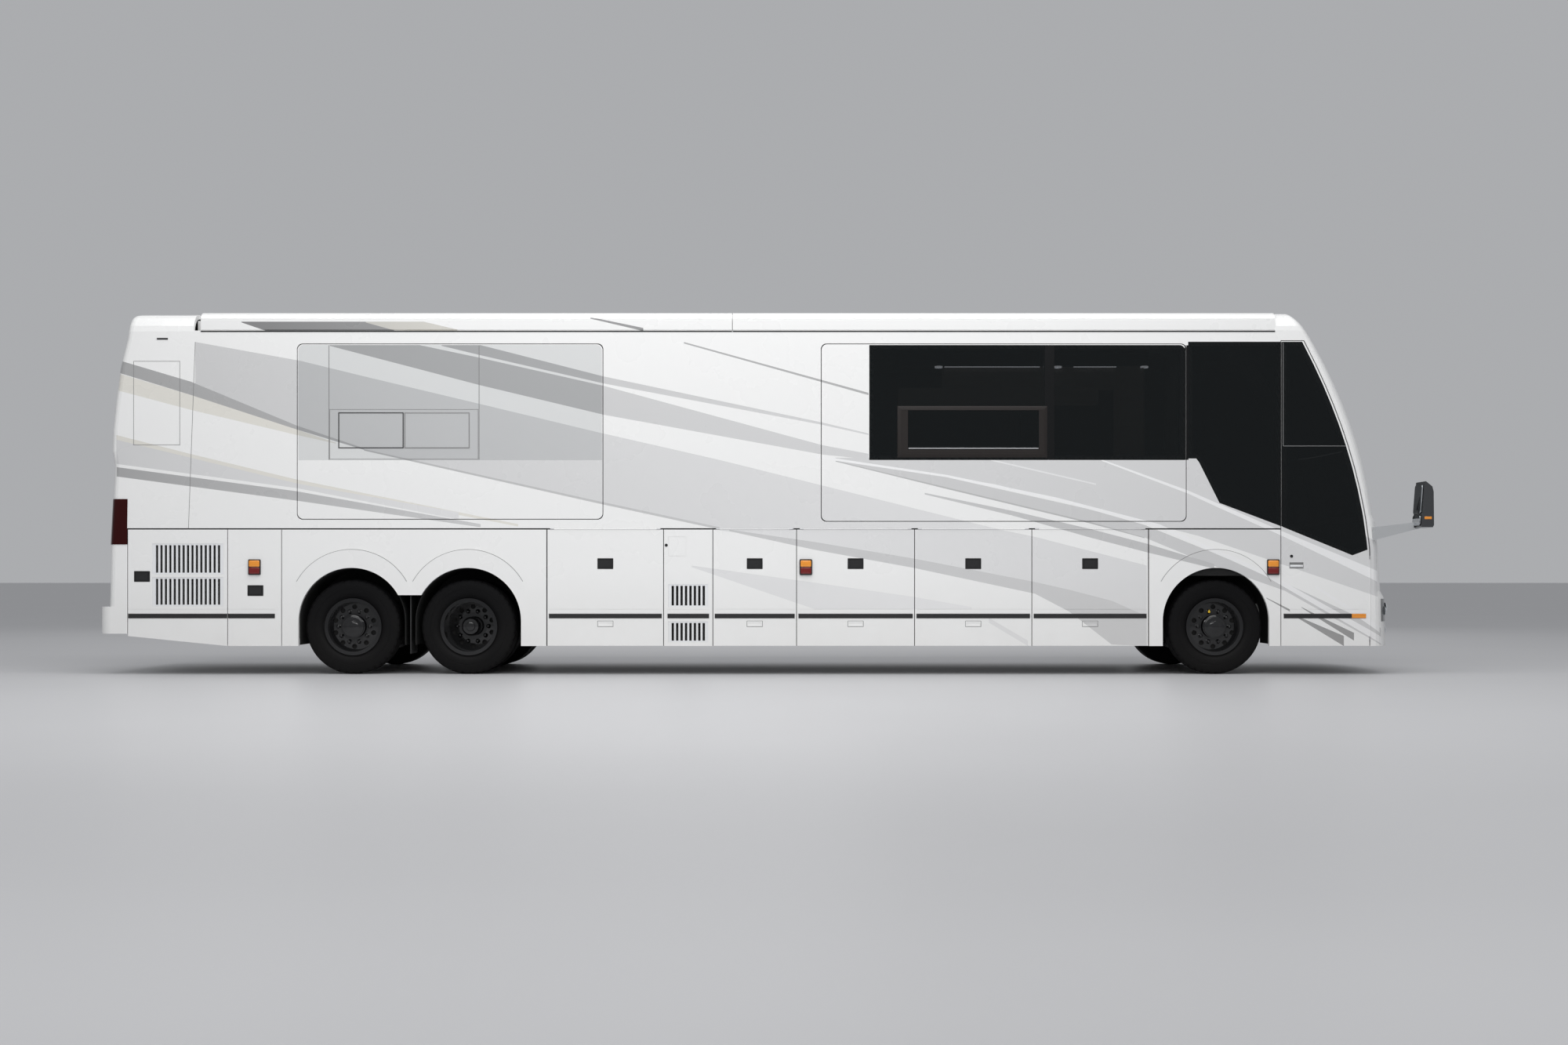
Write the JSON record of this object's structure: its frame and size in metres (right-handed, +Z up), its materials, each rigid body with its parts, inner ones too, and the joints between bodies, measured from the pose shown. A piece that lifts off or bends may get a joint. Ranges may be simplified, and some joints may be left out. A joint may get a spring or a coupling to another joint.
{
  "type": "motor coach",
  "caption": "White tri-axle luxury motor coach with flush slide-out rooms, dark glazing, hinged luggage doors, a swing entry door and a steered front axle on black wheels",
  "frame": {"origin": "on the ground under the middle of the overall box", "axes": "+X forward, +Y to the left side, +Z up"},
  "size_m": [14.11, 3, 3.85],
  "materials": {
    "body_white": "gloss white coach paint",
    "case_white": "painted awning cover",
    "frame_paint": "black chassis paint",
    "deck_board": "covered floor board",
    "engine_iron": "bare iron",
    "grille_paint": "painted slats",
    "tinted_glass": "dark tinted glass",
    "lamp_clear": "clear lens",
    "lamp_red": "dark red lens",
    "lamp_amber": "amber and red lens",
    "mirror_shell": "dark shell",
    "hinge_steel": "bare steel",
    "cab_plastic": "grained plastic",
    "seat_leather": "stitched leather",
    "wheel_rubber": "soft grip",
    "galley_wood": "varnished veneer",
    "rim_black": "gloss black",
    "tyre": "rubber"
  },
  "bodies": {
    "coach": {"bay_frame": "frame_paint", "deck": "deck_board", "cab_floor": "deck_board", "chassis_rails": "frame_paint", "engine_block": "engine_iron", "front_axle": "frame_paint", "drive_axle": "frame_paint", "tag_axle": "frame_paint", "side_wall_right": "body_white", "side_wall_left": "body_white", "lower_panels": "body_white", "side_grilles": "grille_paint", "roof": "body_white", "awning_cases": "case_white", "front_cap": "body_white", "rear_cap": "body_white", "rear_bumper": "body_white", "windshield": "tinted_glass", "side_windows": "tinted_glass", "headlamps": "lamp_clear", "tail_lamps": "lamp_red", "marker_lamps": "lamp_amber", "mirrors": "mirror_shell", "door_hinges": "hinge_steel", "dashboard": "cab_plastic", "cab_seats": "seat_leather"},
    "steering_wheel": {"steering_wheel": "wheel_rubber"},
    "entry_door": {"entry_door": "body_white", "entry_glass": "tinted_glass"},
    "engine_door": {"engine_door": "body_white"},
    "front_room": {"front_room": "body_white", "front_room_glass": "tinted_glass", "galley": "galley_wood"},
    "rear_room": {"rear_room": "body_white", "rear_room_glass": "tinted_glass"},
    "knuckle_right": {"knuckle_right": "frame_paint"},
    "wheel_front_right": {"rim_front_right": "rim_black", "tyre_front_right": "tyre"},
    "wheel_drive_right": {"rim_drive_right": "rim_black", "tyres_drive_right": "tyre"},
    "wheel_tag_right": {"rim_tag_right": "rim_black", "tyre_tag_right": "tyre"},
    "knuckle_left": {"knuckle_left": "frame_paint"},
    "wheel_front_left": {"rim_front_left": "rim_black", "tyre_front_left": "tyre"},
    "wheel_drive_left": {"rim_drive_left": "rim_black", "tyres_drive_left": "tyre"},
    "wheel_tag_left": {"rim_tag_left": "rim_black", "tyre_tag_left": "tyre"},
    "bay_door_right_1": {"bay_door_right_1": "body_white"},
    "bay_door_right_2": {"bay_door_right_2": "body_white"},
    "bay_door_right_3": {"bay_door_right_3": "body_white"},
    "bay_door_right_4": {"bay_door_right_4": "body_white"},
    "bay_door_right_5": {"bay_door_right_5": "body_white"},
    "bay_door_left_1": {"bay_door_left_1": "body_white"},
    "bay_door_left_2": {"bay_door_left_2": "body_white"},
    "bay_door_left_3": {"bay_door_left_3": "body_white"},
    "bay_door_left_4": {"bay_door_left_4": "body_white"},
    "bay_door_left_5": {"bay_door_left_5": "body_white"}
  },
  "joints": [
    {"name": "steer_right", "type": "hinge", "parent": "coach", "child": "knuckle_right", "pos_m": [4.81, -0.9, 0.502], "axis": [0, 0, 1], "range_deg": [-45, 45]},
    {"name": "spin_front_right", "type": "hinge", "parent": "knuckle_right", "child": "wheel_front_right", "pos_m": [4.81, -1.105, 0.502], "axis": [0, 1, 0], "continuous": true},
    {"name": "spin_drive_right", "type": "hinge", "parent": "coach", "child": "wheel_drive_right", "pos_m": [-3.133, -1.105, 0.502], "axis": [0, 1, 0], "continuous": true},
    {"name": "spin_tag_right", "type": "hinge", "parent": "coach", "child": "wheel_tag_right", "pos_m": [-4.366, -1.105, 0.502], "axis": [0, 1, 0], "continuous": true},
    {"name": "steer_left", "type": "hinge", "parent": "coach", "child": "knuckle_left", "pos_m": [4.81, 0.9, 0.502], "axis": [0, 0, 1], "range_deg": [-45, 45]},
    {"name": "spin_front_left", "type": "hinge", "parent": "knuckle_left", "child": "wheel_front_left", "pos_m": [4.81, 1.105, 0.502], "axis": [0, 1, 0], "continuous": true},
    {"name": "spin_drive_left", "type": "hinge", "parent": "coach", "child": "wheel_drive_left", "pos_m": [-3.133, 1.105, 0.502], "axis": [0, 1, 0], "continuous": true},
    {"name": "spin_tag_left", "type": "hinge", "parent": "coach", "child": "wheel_tag_left", "pos_m": [-4.366, 1.105, 0.502], "axis": [0, 1, 0], "continuous": true},
    {"name": "steering_wheel_turn", "type": "hinge", "parent": "coach", "child": "steering_wheel", "pos_m": [5.8, 0.7, 1.76], "axis": [-0.5736, 0, 0.8192], "range_deg": [-720, 720]},
    {"name": "entry_door_swing", "type": "hinge", "parent": "coach", "child": "entry_door", "pos_m": [6.443, -1.295, 0.8], "axis": [0, 0, 1], "range_deg": [0, 85]},
    {"name": "engine_door_lift", "type": "hinge", "parent": "coach", "child": "engine_door", "pos_m": [-6.96167, 0, 1.493], "axis": [0, 1, 0], "range_deg": [0, 80]},
    {"name": "front_room_slide", "type": "slide", "parent": "coach", "child": "front_room", "axis": [0, -1, 0], "range_m": [0, 0.66]},
    {"name": "rear_room_slide", "type": "slide", "parent": "coach", "child": "rear_room", "axis": [0, -1, 0], "range_m": [0, 0.66]},
    {"name": "bay_door_right_1_lift", "type": "hinge", "parent": "coach", "child": "bay_door_right_1", "pos_m": [-1.6725, -1.295, 1.543], "axis": [-1, 0, 0], "range_deg": [0, 88]},
    {"name": "bay_door_right_2_lift", "type": "hinge", "parent": "coach", "child": "bay_door_right_2", "pos_m": [-0.087, -1.295, 1.543], "axis": [-1, 0, 0], "range_deg": [0, 88]},
    {"name": "bay_door_right_3_lift", "type": "hinge", "parent": "coach", "child": "bay_door_right_3", "pos_m": [0.9835, -1.295, 1.543], "axis": [-1, 0, 0], "range_deg": [0, 88]},
    {"name": "bay_door_right_4_lift", "type": "hinge", "parent": "coach", "child": "bay_door_right_4", "pos_m": [2.2325, -1.295, 1.543], "axis": [-1, 0, 0], "range_deg": [0, 88]},
    {"name": "bay_door_right_5_lift", "type": "hinge", "parent": "coach", "child": "bay_door_right_5", "pos_m": [3.4735, -1.295, 1.543], "axis": [-1, 0, 0], "range_deg": [0, 88]},
    {"name": "bay_door_left_1_lift", "type": "hinge", "parent": "coach", "child": "bay_door_left_1", "pos_m": [-1.6725, 1.295, 1.543], "axis": [1, 0, 0], "range_deg": [0, 88]},
    {"name": "bay_door_left_2_lift", "type": "hinge", "parent": "coach", "child": "bay_door_left_2", "pos_m": [-0.087, 1.295, 1.543], "axis": [1, 0, 0], "range_deg": [0, 88]},
    {"name": "bay_door_left_3_lift", "type": "hinge", "parent": "coach", "child": "bay_door_left_3", "pos_m": [0.9835, 1.295, 1.543], "axis": [1, 0, 0], "range_deg": [0, 88]},
    {"name": "bay_door_left_4_lift", "type": "hinge", "parent": "coach", "child": "bay_door_left_4", "pos_m": [2.2325, 1.295, 1.543], "axis": [1, 0, 0], "range_deg": [0, 88]},
    {"name": "bay_door_left_5_lift", "type": "hinge", "parent": "coach", "child": "bay_door_left_5", "pos_m": [3.4735, 1.295, 1.543], "axis": [1, 0, 0], "range_deg": [0, 88]}
  ],
  "couplings": [
    {"joint": "steer_left", "follows": "steer_right", "ratio": 1},
    {"joint": "steering_wheel_turn", "follows": "steer_right", "ratio": 16}
  ]
}
